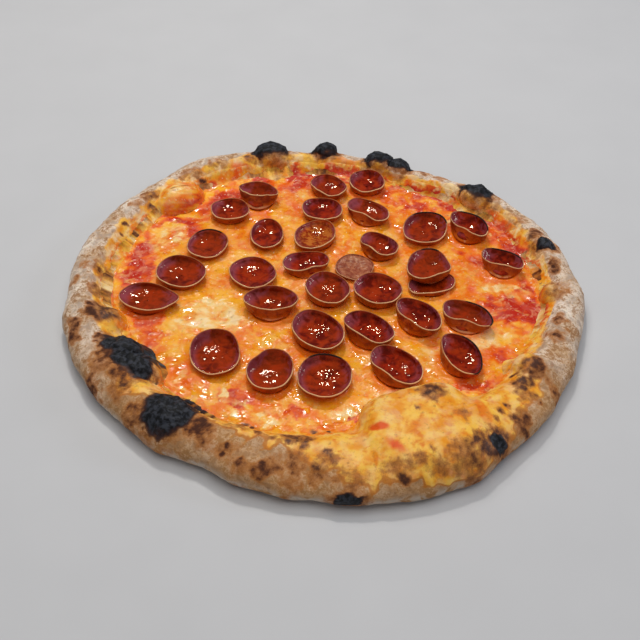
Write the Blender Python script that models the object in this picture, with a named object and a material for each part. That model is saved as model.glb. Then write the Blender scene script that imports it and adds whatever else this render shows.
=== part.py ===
"""A whole baked pepperoni pizza: the dough with its raised rim, the melted cheese and sauce in the dish
of the dough, and the cupped pepperoni slices that lie on the cheese.

Lengths are metres and +Z is up. The origin is the middle of the pizza on the surface it rests on. The
side called the front is towards -Y. Angles are degrees, anticlockwise seen from above, from +X.
"""
import math
from collections import namedtuple

import bmesh
import bpy
import numpy as np

MM = 0.001
OBJECT_NAME = "pepperoni_pizza"

# Gap between pieces that touch
GAP = 0.35 * MM

# The dough under the cheese, and the number of steps round the pizza
BASE_THICKNESS = 4.0 * MM
STEPS_ROUND = 144

# The rim by direction: angle, outer radius, radius of the inner foot, crest radius and crest height, in mm
RIM = (
    (0, 149, 123, 137, 17),
    (20, 150, 124, 138, 16),
    (40, 148, 124, 137, 15),
    (60, 139, 118, 128, 14),
    (80, 143, 119, 131, 14),
    (100, 146, 121, 134, 15),
    (120, 155, 125, 141, 17),
    (140, 154, 126, 141, 16),
    (160, 152, 125, 138, 17),
    (180, 149.5, 122, 136, 18),
    (200, 146, 111, 129, 18),
    (220, 141, 108, 125, 18),
    (240, 139, 104, 120, 18),
    (260, 140, 99, 117, 17),
    (280, 146, 95, 116, 17),
    (300, 147, 94, 118, 17),
    (320, 145, 106, 125, 17),
    (340, 147, 113, 130, 17),
)

# The rim's widest point is at this share of its height, and its foot tucks in by this much under it
WIDEST_SHARE = 0.42
TUCK_UNDER = 7.0 * MM

# Uneven hand stretching: waves round the rim as (count, phase in degrees, outward mm, upward mm)
RIM_WAVES = (
    (7, 40, 0.8, 0.3),
    (11, 130, 0.6, 0.5),
    (17, 75, 0.5, 0.4),
    (29, 10, 0.3, 0.4),
)

# Bubbles that the oven raised in the dough, as balls that push the skin out: centre x, y, z and
# half sizes along, across and up, in mm, then the turn of the ball in degrees, and how blunt it is:
# 2 is an ellipsoid, and more is boxier
Bubble = namedtuple("Bubble", "x y z along across up turn blunt")
BUBBLES = {
    "folded_lobe": (51, -103.5, 4, 29, 28.5, 17.3, 20, 3.6),
    "left_char_upper": (-108, -52, 4, 14, 11, 16, -25, 2),
    "left_char_lower": (-99, -65, 4, 14, 12, 16, -20, 2),
    "front_left_char": (-77, -99, 6, 13, 14, 15, 0, 2),
    "back_peak": (-36, 133, 12, 12, 9, 13, 0, 2),
    "back_small": (-1, 138, 12, 9, 7, 9, 0, 2),
    "back_right_pair_left": (36, 128, 11, 10, 9, 10, 0, 2),
    "back_right_pair_right": (48, 123, 11, 8, 8, 8, 0, 2),
    "back_right_far": (97, 93, 11, 11, 9, 9, -30, 2),
    "right_small": (133, 42, 12, 6, 6, 7, 0, 2),
    "right_brown": (132, 1, 11, 7, 7, 7, 0, 2),
    "right_purple": (112, -60, 11, 11, 9, 8, -40, 2),
    "upper_left_lobe": (-95, 91, 3, 18, 14, 14, 40, 2),
    "left_shoulder": (-122, -28, 3, 12, 13, 14, 0, 2),
}
BUBBLE_SHARPNESS = 7.0
BUBBLE_MIDDLE = 0.05
BUBBLE_CLEARANCE = 2.0 * MM

# Cheese and sauce: top level in the dish, depth of its dips, and the distances between the dips
CHEESE_TOP = 7.5 * MM
CHEESE_DIP = 0.7 * MM
CHEESE_WAVELENGTHS = (37.0 * MM, 23.0 * MM)
CHEESE_SLOPE_THICKNESS = (2.6 * MM, 1.6 * MM, 0.8 * MM)

# Stations up the rim's inner slope as shares of it, and down its outer side as degrees of an arc
SLOPE_STATIONS = (0.0, 0.16, 0.32, 0.46, 0.6, 0.74, 0.88, 1.0)
SIDE_STATIONS = (62, 36, 12, -12, -45, -90)
DISH_STATIONS = (0.25, 0.48, 0.68, 0.86)

# Pepperoni slices: the foot is this share of the lip's mean size, and its edge is rounded by this share
SLICE_THICKNESS = 1.8 * MM
SLICE_STEPS = 16
SLICE_REST = CHEESE_TOP + GAP
FOOT_SHARE = 0.86
FOOT_ROUNDING = 0.2
LIP_THICKNESS = 1.3 * MM
LIP_ROUNDING = 0.3 * MM
LIP_RIPPLE = 0.5

# Where the cup's wall bends, outside and inside: the level of its outline and its share of the height
BEND_OUTSIDE = (0.55, 0.36)
BEND_INSIDE = (0.45, 0.32)

# Each slice: x, y, length and width of its lip in mm, turn of its length in degrees, height of its wall
# at the front and at the back in mm, and how far its foot lies forward of its lip in mm
Slice = namedtuple("Slice", "x y length width turn front_wall back_wall forward")
SLICES = (
    (2, 103, 26, 21, -40, 5, 5, 1),
    (27, 108, 24, 23, -55, 5, 6, 1),
    (-43, 93, 27, 18, -20, 8, 7, 4),
    (-60, 76, 25, 22, -15, 5, 5, 1),
    (-2, 78, 26, 23, -20, 5, 5, 0),
    (27, 77, 30, 20, -38, 6, 5, 2),
    (-36, 53, 28, 21, -80, 4, 5, 0),
    (-6, 52, 30, 24, 60, 5, 5, 0),
    (62, 60, 30, 26, 50, 4, 7, 0),
    (89, 62, 29, 20, -55, 7, 7, 3),
    (-71, 42, 27, 24, 55, 4, 5, 0),
    (33, 43, 26, 20, -45, 6, 5, 2),
    (-11, 26, 28, 19, 10, 5, 5, 2),
    (-84, 15, 30, 26, -15, 4, 6, 0),
    (-42, 16, 29, 25, -30, 4, 5, 0),
    (61, 20, 30, 24, 90, 6, 6, 1),
    (18, 25, 24, 23, 50, 2, 2, 0),
    (106, 29, 27, 17, -30, 6, 7, 3),
    (2, 2, 28, 25, -50, 6, 6, 1),
    (31, 2, 29, 26, -25, 6, 6, 1),
    (-101, -7, 33, 22, -10, 4, 5, 0),
    (-30, -10, 32, 22, 0, 7, 7, 2),
    (53, -20, 32, 21, -52, 7, 6, 2),
    (80, -19, 29, 20, -30, 6, 7, 2),
    (-3, -33, 34, 26, -50, 6, 6, 0),
    (25, -31, 32, 22, -40, 7, 6, 2),
    (-58, -51, 31, 28, -80, 3, 8, 0),
    (74, -50, 33, 21, -70, 6, 6, 2),
    (-28, -64, 28, 25, 75, 5, 8, 2),
    (1, -67, 31, 29, 75, 5, 6, 0),
    (39, -59, 33, 23, -45, 6, 6, 1),
    (63, 11, 29, 19, 20, 3, 2, 0),
)

# The slice that lies across another one, and how much higher it rests
STACKED_SLICE = 16
STACKED_RISE = 3.2 * MM

COLOURS = {
    "crust": ((0.62, 0.40, 0.20), 0.75),
    "cheese_and_sauce": ((0.86, 0.36, 0.06), 0.30),
    "pepperoni": ((0.32, 0.03, 0.015), 0.22),
}


def clear_scene():
    """Remove every object that a new Blender file starts with."""
    for scene_object in list(bpy.data.objects):
        bpy.data.objects.remove(scene_object, do_unlink=True)


def make_material(name, colour, roughness):
    """A plain Principled material."""
    material = bpy.data.materials.new(name)
    material.use_nodes = True
    shader = material.node_tree.nodes["Principled BSDF"]
    shader.inputs["Base Color"].default_value = (*colour, 1.0)
    shader.inputs["Roughness"].default_value = roughness
    shader.inputs["Metallic"].default_value = 0.0
    return material


def closed_loft(name, rings, middle_above, middle_below, material, collection):
    """A closed body through rings of equal count, listed from the middle above, outwards, round the
    edge and back to the middle below. Both ends close in a fan. Each quad is cut from the near ring's
    point to the far ring's next one, above and below alike, so that pieces that touch have like facets."""
    count = len(rings[0])
    widths = [np.linalg.norm(np.asarray(ring)[:, :2], axis=1).mean() for ring in rings]
    mesh = bmesh.new()
    rows = [[mesh.verts.new(point) for point in ring] for ring in rings]
    above = mesh.verts.new(middle_above)
    below = mesh.verts.new(middle_below)
    for step in range(count):
        following = (step + 1) % count
        mesh.faces.new((above, rows[0][step], rows[0][following]))
        mesh.faces.new((below, rows[-1][following], rows[-1][step]))
        for number in range(len(rows) - 1):
            first, second = rows[number], rows[number + 1]
            if widths[number] > widths[number + 1]:
                first, second = second, first
            mesh.faces.new((first[step], second[step], second[following]))
            mesh.faces.new((first[step], second[following], first[following]))
    bmesh.ops.recalc_face_normals(mesh, faces=mesh.faces)
    data = bpy.data.meshes.new(name)
    mesh.to_mesh(data)
    mesh.free()
    data.materials.append(material)
    data.shade_smooth()
    data.set_sharp_from_angle(angle=math.radians(50))
    piece = bpy.data.objects.new(name, data)
    collection.objects.link(piece)
    return piece


def rim_values(angles):
    """Outer, foot and crest radius and crest height at each angle: a smooth closed curve through the
    rows of RIM (a Catmull-Rom cubic between each two), plus the waves of uneven dough."""
    rows = np.array(RIM, dtype=float)
    count = len(rows)
    place = np.degrees(angles) % 360.0 / (360.0 / count)
    start = np.floor(place).astype(int)
    share = (place - start)[:, None]
    before, here, after, beyond = (rows[(start + shift) % count, 1:] for shift in (-1, 0, 1, 2))
    slope = after - before
    bend = 2 * before - 5 * here + 4 * after - beyond
    twist = 3 * here - before - 3 * after + beyond
    values = (here + 0.5 * share * (slope + share * (bend + share * twist))) * MM
    outward = sum(mm * np.sin(waves * angles + math.radians(phase)) for waves, phase, mm, _ in RIM_WAVES)
    upward = sum(mm * np.cos(waves * angles + math.radians(phase)) for waves, phase, _, mm in RIM_WAVES)
    outer = values[:, 0] + outward * MM
    height = values[:, 3] + upward * MM
    return outer, values[:, 1], values[:, 2], height


def push_out_bubbles(points):
    """Move points that lie inside a bubble's ball out to its skin, rounding the join, and leave the
    underside flat. A point's distance d from the ball's middle, in its radii, becomes (d^p + 1)^(1/p).
    A blunt ball measures d by a higher power than the square. Below its middle the ball goes straight
    down like a post, so that no wall of it hangs over."""
    points = points.copy()
    for row in BUBBLES.values():
        bubble = Bubble(*row)
        centre = np.array((bubble.x, bubble.y, bubble.z)) * MM
        cosine = math.cos(math.radians(bubble.turn))
        sine = math.sin(math.radians(bubble.turn))
        frame = np.array(((cosine, sine, 0.0), (-sine, cosine, 0.0), (0.0, 0.0, 1.0)))
        half_sizes = np.array((bubble.along, bubble.across, bubble.up)) * MM
        local = (points - centre) @ frame.T / half_sizes
        below = np.minimum(local[:, 2], 0.0)
        local[:, 2] -= below
        distance = (np.abs(local) ** bubble.blunt).sum(axis=1) ** (1.0 / bubble.blunt)
        distance = np.maximum(distance, BUBBLE_MIDDLE)
        raised = (distance ** BUBBLE_SHARPNESS + 1.0) ** (1.0 / BUBBLE_SHARPNESS)
        lift = np.clip(points[:, 2] / BUBBLE_CLEARANCE - 0.5, 0.0, 1.0)
        reach = np.clip(2.0 - distance, 0.0, 1.0)
        factor = 1.0 + (raised / distance - 1.0) * lift * reach
        local *= factor[:, None]
        local[:, 2] += below
        points = centre + (local * half_sizes) @ frame
    return points


def ring_points(angles, radius, height):
    """Points of a ring from its radius and height at each angle."""
    height = np.broadcast_to(height, radius.shape)
    return np.stack((radius * np.cos(angles), radius * np.sin(angles), height), axis=1)


def slope_rings(angles):
    """Rings from the rim's foot up its inner slope to the crest: an S-shaped rise."""
    _, foot, crest, height = rim_values(angles)
    rings = []
    for share in SLOPE_STATIONS:
        rise = share * share * (3.0 - 2.0 * share)
        radius = foot + (crest - foot) * share
        level = BASE_THICKNESS + (height - BASE_THICKNESS) * rise
        rings.append(ring_points(angles, radius, level))
    rings = [push_out_bubbles(ring) for ring in rings]
    rings[0][:, 2] = BASE_THICKNESS
    return rings


def side_rings(angles):
    """Rings from the crest over the rim's outer side: a quarter ellipse down to the widest point, and a
    smaller one that tucks in to the underside."""
    outer, _, crest, height = rim_values(angles)
    widest = height * WIDEST_SHARE
    rings = []
    for degrees in SIDE_STATIONS:
        cosine = math.cos(math.radians(degrees))
        sine = math.sin(math.radians(degrees))
        if degrees >= 0:
            radius = crest + (outer - crest) * cosine
            level = widest + (height - widest) * sine
        else:
            radius = outer - TUCK_UNDER * (1.0 - cosine)
            level = widest * (1.0 + sine)
        rings.append(push_out_bubbles(ring_points(angles, radius, level)))
    return rings


def make_crust(angles, collection):
    """The dough: a flat disc inside the raised rim, in one body."""
    material = make_material("crust", *COLOURS["crust"])
    rings = slope_rings(angles) + side_rings(angles)
    closed_loft("crust", rings, (0, 0, BASE_THICKNESS), (0, 0, 0), material, collection)


def cheese_level(points):
    """Top of the cheese in the dish: level, with soft dips from two crossing waves."""
    long_wave, short_wave = CHEESE_WAVELENGTHS
    turn = 2 * math.pi
    first = np.sin(turn * points[:, 0] / long_wave) * np.cos(turn * points[:, 1] / long_wave)
    second = np.sin(turn * (points[:, 0] + points[:, 1]) / short_wave)
    return CHEESE_TOP - CHEESE_DIP * (0.5 - 0.3 * first - 0.2 * second)


def ring_normals(rings):
    """Unit normals of the surface through a stack of rings, pointing up and in."""
    stack = np.array(rings)
    outward = np.gradient(stack, axis=0)
    around = np.roll(stack, -1, axis=1) - np.roll(stack, 1, axis=1)
    normals = np.cross(outward, around)
    return normals / np.linalg.norm(normals, axis=2, keepdims=True)


def make_cheese(angles, collection):
    """The cheese and sauce: a layer that fills the dish and thins out up the rim's inner slope."""
    count = len(CHEESE_SLOPE_THICKNESS) + 1
    slope = slope_rings(angles)
    normals = ring_normals(slope)[:count]
    under = [ring + GAP * normal for ring, normal in zip(slope, normals)]
    under[0][:, 2] = BASE_THICKNESS + GAP
    top = []
    for share in DISH_STATIONS:
        ring = under[0] * np.array((share, share, 1.0))
        ring[:, 2] = cheese_level(ring)
        top.append(ring)
    edge = under[0].copy()
    edge[:, 2] = cheese_level(edge)
    top.append(edge)
    for ring, normal, thickness in zip(under[1:], normals[1:], CHEESE_SLOPE_THICKNESS):
        top.append(ring + thickness * normal)
    material = make_material("cheese_and_sauce", *COLOURS["cheese_and_sauce"])
    middle = np.zeros((1, 3))
    above = (0, 0, float(cheese_level(middle)[0]))
    below = (0, 0, BASE_THICKNESS + GAP)
    closed_loft("cheese_and_sauce", top + under[::-1], above, below, material, collection)


def slice_ring(angles, place, level, inset, height):
    """One ring of a cupped slice. Level runs from 0 at the foot to 1 at the lip: the outline changes
    from a round foot to the lip's oval, and shifts back from the foot to the lip."""
    foot_half = 0.25 * FOOT_SHARE * (place.length + place.width) * MM
    long_half = foot_half + level * (0.5 * place.length * MM - foot_half) - inset
    wide_half = foot_half + level * (0.5 * place.width * MM - foot_half) - inset
    along = long_half * np.cos(angles)
    across = wide_half * np.sin(angles)
    cosine = math.cos(math.radians(place.turn))
    sine = math.sin(math.radians(place.turn))
    centre_y = (place.y - place.forward * (1 - level)) * MM
    return np.stack((
        place.x * MM + along * cosine - across * sine,
        centre_y + along * sine + across * cosine,
        height,
    ), axis=1)


def make_slice(number, place, material, collection):
    """A pepperoni slice that curled into a cup: a flat foot, a wall that flares to an oval lip of
    uneven height, and nearly the same thickness all over."""
    angles = np.arange(SLICE_STEPS) * (2 * math.pi / SLICE_STEPS)
    rest = SLICE_REST + (STACKED_RISE if number == STACKED_SLICE else 0.0)
    backward = 0.5 + 0.5 * np.sin(angles + math.radians(place.turn))
    ripple = LIP_RIPPLE * np.sin(3 * angles + number)
    wall = (place.front_wall + (place.back_wall - place.front_wall) * backward + ripple) * MM
    level_foot = np.full(SLICE_STEPS, rest)
    floor = rest + SLICE_THICKNESS
    inside_rise = np.maximum(wall - SLICE_THICKNESS, 0.2 * MM)
    rounding = FOOT_ROUNDING * 0.25 * (place.length + place.width) * MM
    rings = [
        slice_ring(angles, place, 0.0, rounding + 0.5 * LIP_THICKNESS, level_foot + SLICE_THICKNESS),
        slice_ring(angles, place, BEND_INSIDE[0], SLICE_THICKNESS, floor + BEND_INSIDE[1] * inside_rise),
        slice_ring(angles, place, 1.0, LIP_THICKNESS, rest + wall),
        slice_ring(angles, place, 1.0, 0.0, rest + wall - LIP_ROUNDING),
        slice_ring(angles, place, BEND_OUTSIDE[0], 0.0, rest + BEND_OUTSIDE[1] * wall),
        slice_ring(angles, place, 0.0, rounding, level_foot),
    ]
    middle = (place.x * MM, (place.y - place.forward) * MM)
    closed_loft(f"pepperoni_{number:02d}", rings, (*middle, floor), (*middle, rest), material, collection)


def main():
    clear_scene()
    collection = bpy.data.collections.new(OBJECT_NAME)
    bpy.context.scene.collection.children.link(collection)
    angles = np.arange(STEPS_ROUND) * (2 * math.pi / STEPS_ROUND)
    make_crust(angles, collection)
    make_cheese(angles, collection)
    pepperoni = make_material("pepperoni", *COLOURS["pepperoni"])
    for number, row in enumerate(SLICES, start=1):
        make_slice(number, Slice(*row), pepperoni, collection)


main()
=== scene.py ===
"""The looks of a whole baked pepperoni pizza.

Every solid of the frame is replaced by a finer surface of the same form: the dough with its rim,
blisters and browning, the melted cheese with the sauce in it, and the pepperoni cups with crisped
lips. Lengths are metres, +Z is up, and the front is towards -Y. Directions are degrees from +X.
"""
import math
from collections import namedtuple
from itertools import product

import bpy
import numpy as np
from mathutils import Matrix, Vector


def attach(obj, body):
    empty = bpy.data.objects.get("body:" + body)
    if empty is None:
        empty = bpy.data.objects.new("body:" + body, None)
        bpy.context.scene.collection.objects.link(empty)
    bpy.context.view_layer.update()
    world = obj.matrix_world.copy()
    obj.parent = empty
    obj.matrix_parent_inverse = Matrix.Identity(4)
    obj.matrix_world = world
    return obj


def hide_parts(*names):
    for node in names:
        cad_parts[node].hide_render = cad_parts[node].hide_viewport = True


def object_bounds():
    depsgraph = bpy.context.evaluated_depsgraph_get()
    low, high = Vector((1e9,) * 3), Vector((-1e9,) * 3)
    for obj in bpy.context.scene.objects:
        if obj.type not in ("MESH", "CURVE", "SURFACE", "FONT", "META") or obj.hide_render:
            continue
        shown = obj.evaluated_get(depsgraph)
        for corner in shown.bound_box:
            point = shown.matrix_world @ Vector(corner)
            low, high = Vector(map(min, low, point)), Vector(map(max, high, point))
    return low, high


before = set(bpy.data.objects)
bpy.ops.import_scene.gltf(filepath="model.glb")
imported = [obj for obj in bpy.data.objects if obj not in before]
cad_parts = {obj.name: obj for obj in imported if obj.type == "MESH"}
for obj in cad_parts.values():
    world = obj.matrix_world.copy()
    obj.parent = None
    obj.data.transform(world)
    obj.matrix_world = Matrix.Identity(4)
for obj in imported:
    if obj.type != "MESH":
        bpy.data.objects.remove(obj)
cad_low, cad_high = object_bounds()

MM = 0.001
FULL_TURN = 2 * math.pi
TINY = 1e-12

# The camera: place, turn about X, Y and Z in degrees, and lens and sensor in mm
CAMERA_PLACE = (-0.0012, -0.4294, 0.3956)
CAMERA_TURN = (46.58, -0.65, 0.73)
LENS = 56.25
SENSOR = 36.0

# The lights: place, width and height in metres, power in watts, colour, and whether gloss reflects
# them. All shine at the middle. The broad ones are softened as by a filter and add no glare.
Light = namedtuple("Light", "name place width height power colour glare")
LIGHTS = (
    Light("overhead", (0.00, -0.05, 1.35), 1.50, 1.20, 9.6, (1.0, 0.985, 0.96), False),
    Light("back_soft", (-0.28, 0.72, 1.05), 0.35, 0.30, 2.6, (1.0, 0.98, 0.95), False),
    Light("key", (-0.08, 0.66, 1.08), 0.13, 0.09, 4.2, (1.0, 0.97, 0.92), True),
    Light("front_fill", (-0.50, -1.20, 0.95), 0.80, 0.60, 1.6, (1.0, 0.97, 0.94), False),
    Light("cool_side", (1.20, 0.20, 0.60), 0.30, 0.30, 2.4, (0.80, 0.86, 1.0), True),
)

# The solids' own values, the dough: its base, the height of its widest line as a share of the rim's,
# and how far its lower edge tucks in
BASE_THICKNESS = 4.0 * MM
WIDEST_SHARE = 0.42
TUCK_UNDER = 7.0 * MM

# The rim by direction: angle, outer radius, radius of the inner foot, crest radius and height, in mm
RIM = (
    (0, 149, 123, 137, 17),
    (20, 150, 124, 138, 16),
    (40, 148, 124, 137, 15),
    (60, 139, 118, 128, 14),
    (80, 143, 119, 131, 14),
    (100, 146, 121, 134, 15),
    (120, 155, 125, 141, 17),
    (140, 154, 126, 141, 16),
    (160, 152, 125, 138, 17),
    (180, 149.5, 122, 136, 18),
    (200, 146, 111, 129, 18),
    (220, 141, 108, 125, 18),
    (240, 139, 104, 120, 18),
    (260, 140, 99, 117, 17),
    (280, 146, 95, 116, 17),
    (300, 147, 94, 118, 17),
    (320, 145, 106, 125, 17),
    (340, 147, 113, 130, 17),
)

# Waves of uneven dough: number round the rim, phase in degrees, mm outward and mm upward
RIM_WAVES = (
    (7, 40, 0.8, 0.3),
    (11, 130, 0.6, 0.5),
    (17, 75, 0.5, 0.4),
    (29, 10, 0.3, 0.4),
)

# Bubbles in the dough: middle and half sizes in mm, turn, and bluntness, which is 2 for an ellipsoid.
# Sharpness is how closely the skin follows the ball, and clearance the height where it begins.
Bubble = namedtuple("Bubble", "x y z along across up turn blunt")
BUBBLES = {
    "folded_lobe": Bubble(51, -103.5, 4, 29, 28.5, 17.3, 20, 3.6),
    "left_char_upper": Bubble(-108, -52, 4, 14, 11, 16, -25, 2),
    "left_char_lower": Bubble(-99, -65, 4, 14, 12, 16, -20, 2),
    "front_left_char": Bubble(-77, -99, 6, 13, 14, 15, 0, 2),
    "back_peak": Bubble(-36, 133, 12, 12, 9, 13, 0, 2),
    "back_small": Bubble(-1, 138, 12, 9, 7, 9, 0, 2),
    "back_right_pair_left": Bubble(36, 128, 11, 10, 9, 10, 0, 2),
    "back_right_pair_right": Bubble(48, 123, 11, 8, 8, 8, 0, 2),
    "back_right_far": Bubble(97, 93, 11, 11, 9, 9, -30, 2),
    "right_small": Bubble(133, 42, 12, 6, 6, 7, 0, 2),
    "right_brown": Bubble(132, 1, 11, 7, 7, 7, 0, 2),
    "right_purple": Bubble(112, -60, 11, 11, 9, 8, -40, 2),
    "upper_left_lobe": Bubble(-95, 91, 3, 18, 14, 14, 40, 2),
    "left_shoulder": Bubble(-122, -28, 3, 12, 13, 14, 0, 2),
}
BUBBLE_SHARPNESS = 7.0
BUBBLE_MIDDLE = 0.05
BUBBLE_CLEARANCE = 2.0 * MM

# The solids' own values, the cheese: its top, its soft dips and underside, and the share of its grid
# that lies in the dish and not on the rim
CHEESE_TOP = 7.5 * MM
CHEESE_DIP = 0.7 * MM
CHEESE_WAVELENGTHS = (37.0 * MM, 23.0 * MM)
CHEESE_FLOOR = 4.35 * MM
DISH_SHARE = 0.86

# The solids' own values, the slices. The foot is this share of the lip's mean size, and its edge is
# rounded by a share of that. The stacked slice lies across another one.
SLICE_REST = CHEESE_TOP + 0.35 * MM
FOOT_SHARE = 0.86
FOOT_ROUNDING = 0.2
LIP_RIPPLE = 0.5
STACKED_SLICE = 16
STACKED_RISE = 3.2 * MM

# The slices from back to front: middle, length and width of the lip in mm, turn, height of the wall in
# front and at the back, and how far forward the foot lies
Slice = namedtuple("Slice", "x y length width turn front_wall back_wall forward")
SLICES = [Slice(*row) for row in (
    (2, 103, 26, 21, -40, 5, 5, 1),
    (27, 108, 24, 23, -55, 5, 6, 1),
    (-43, 93, 27, 18, -20, 8, 7, 4),
    (-60, 76, 25, 22, -15, 5, 5, 1),
    (-2, 78, 26, 23, -20, 5, 5, 0),
    (27, 77, 30, 20, -38, 6, 5, 2),
    (-36, 53, 28, 21, -80, 4, 5, 0),
    (-6, 52, 30, 24, 60, 5, 5, 0),
    (62, 60, 30, 26, 50, 4, 7, 0),
    (89, 62, 29, 20, -55, 7, 7, 3),
    (-71, 42, 27, 24, 55, 4, 5, 0),
    (33, 43, 26, 20, -45, 6, 5, 2),
    (-11, 26, 28, 19, 10, 5, 5, 2),
    (-84, 15, 30, 26, -15, 4, 6, 0),
    (-42, 16, 29, 25, -30, 4, 5, 0),
    (61, 20, 30, 24, 90, 6, 6, 1),
    (18, 25, 24, 23, 50, 2, 2, 0),
    (106, 29, 27, 17, -30, 6, 7, 3),
    (2, 2, 28, 25, -50, 6, 6, 1),
    (31, 2, 29, 26, -25, 6, 6, 1),
    (-101, -7, 33, 22, -10, 4, 5, 0),
    (-30, -10, 32, 22, 0, 7, 7, 2),
    (53, -20, 32, 21, -52, 7, 6, 2),
    (80, -19, 29, 20, -30, 6, 7, 2),
    (-3, -33, 34, 26, -50, 6, 6, 0),
    (25, -31, 32, 22, -40, 7, 6, 2),
    (-58, -51, 31, 28, -80, 3, 8, 0),
    (74, -50, 33, 21, -70, 6, 6, 2),
    (-28, -64, 28, 25, 75, 5, 8, 2),
    (1, -67, 31, 29, 75, 5, 6, 0),
    (39, -59, 33, 23, -45, 6, 6, 1),
    (63, 11, 29, 19, 20, 3, 2, 0),
)]

# A cup's section, from the middle of its floor over the lip to the middle of its foot. Level runs from
# the round foot, 0, to the lip's oval, 1. A knot lies in from there by its inset in mm, by a share of
# the foot's radius and, if rounded, by the foot's rounding. Its height is so many mm above the foot,
# plus a rise that is a share of the wall less some mm. Depth is 1 on the floor and 0 at the lip.
Knot = namedtuple("Knot", "level inset share rounded above rise less depth inside crisp")
CUP = [Knot(*row) for row in (
    (0, 0, 0.97, False, 1.2, 0, 0, 1, 1, 0),
    (0, 0, 0.6, False, 1.3, 0, 0, 1, 1, 0),
    (0, 0.65, 0, True, 1.8, 0, 0, 0.92, 1, 0),
    (0.45, 1.5, 0, False, 1.8, 0.32, 1.8, 0.65, 1, 0),
    (0.82, 1.15, 0, False, 1.8, 0.72, 1.8, 0.35, 1, 0),
    (0.97, 0.95, 0, False, -0.55, 1, 0, 0.1, 1, 0.1),
    (1, 0.45, 0, False, 0.15, 1, 0, 0, 0.6, 1),
    (1, 0, 0, False, -0.2, 1, 0, 0.05, 0, 0.8),
    (0.9, -0.05, 0, False, 0, 0.8, 0, 0.25, 0, 0),
    (0.55, 0, 0, False, 0, 0.36, 0, 0.65, 0, 0),
    (0, 0, 0, True, 0, 0, 0, 1, 0, 0),
    (0, 0, 0.97, False, 0, 0, 0, 1, 0, 0),
)]

# Dents in the slices' lips: slice number, direction, depth in mm, half width in degrees. A depth under
# 0 is a bulge.
Dent = namedtuple("Dent", "number direction depth spread")
DENTS = [Dent(*row) for row in (
    (1, -120, 1, 40), (3, -100, 3.2, 60), (6, -125, 3.4, 36), (7, 150, 1.4, 40), (10, -130, 4.6, 46),
    (12, -140, 3, 34), (13, -60, 3, 34), (16, -70, 3.4, 46), (16, -150, -2.2, 24), (16, -10, -2, 20),
    (18, -100, 4.2, 50), (21, 0, -2.4, 24), (22, -90, 2.4, 50), (23, -138, 3.2, 42), (24, -108, 5, 42),
    (24, -25, -1.6, 24), (26, -128, 2.4, 42), (27, 20, 1, 30), (28, -160, 1.8, 50), (29, 135, 2.2, 26),
    (31, -135, 2.6, 38),
)]

# Black edges on the slices' lips: slice number, direction, half width in degrees
BurntLip = namedtuple("BurntLip", "number direction spread")
BURNT_LIPS = [BurntLip(*row) for row in (
    (9, 70, 75), (10, 40, 80), (11, 90, 50), (16, 80, 34), (18, 60, 60), (24, 20, 75), (28, 0, 90),
    (30, 90, 50),
)]

# The flat dull slice, the one with a painted patch of golden glints on its oil, and the side of a cup where
# a purple sheen is painted, a painted reflection of cool light
DULL_SLICE = 17
GLINTING_OIL_SLICE = 8
PAINTED_SHEEN_SIDE = 170

# Where golden, cheesy dough gives way to pale floured dough: direction, and station on the rim
GOLD_EDGE = (
    (0, 0.62), (10, 0.75), (20, 0.88), (36, 0.95), (55, 0.90), (75, 1.05), (95, 1.05), (113, 0.98),
    (126, 0.86), (135, 1.00), (147, 0.76), (158, 0.94), (170, 0.80), (185, 0.72), (197, 0.85),
    (208, 0.50), (219, 1.50), (230, 0.60), (241, 0.80), (250, 1.08), (260, 1.08), (268, 1.32),
    (273, 1.46), (280, 1.66), (288, 1.56), (294, 1.88), (302, 1.80), (309, 1.84), (316, 1.30),
    (324, 1.42), (334, 0.85), (345, 0.62),
)

# How far the cheese climbs the rim's inner slope: direction, and share of the slope
CHEESE_REACH = (
    (0, 0.78), (20, 0.86), (40, 0.90), (70, 0.92), (95, 0.90), (118, 0.82), (135, 0.86), (150, 0.72),
    (175, 0.68), (200, 0.54), (215, 0.22), (235, 0.28), (265, 0.36), (290, 0.32), (310, 0.16),
    (325, 0.50), (345, 0.68),
)

# Charred places: x, y, half length, half width in mm, turn
CHARS = (
    (-107, -50, 11.5, 9, -20), (-100, -60, 11, 9.5, -25), (-96, -68, 6.5, 6.5, 0),
    (-77, -98, 13, 12.5, 10), (-37, 136, 11.5, 8.8, 10), (-1, 139.5, 10, 7, 0), (35, 130, 9.5, 7.4, -10),
    (49, 124, 7.5, 6.2, 0), (98, 95.5, 11, 7.6, -35), (133, 41, 5.4, 4.8, 0), (12, -146, 8, 3.2, 5),
    (86, -112, 3.6, 4.6, 60),
)

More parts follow.
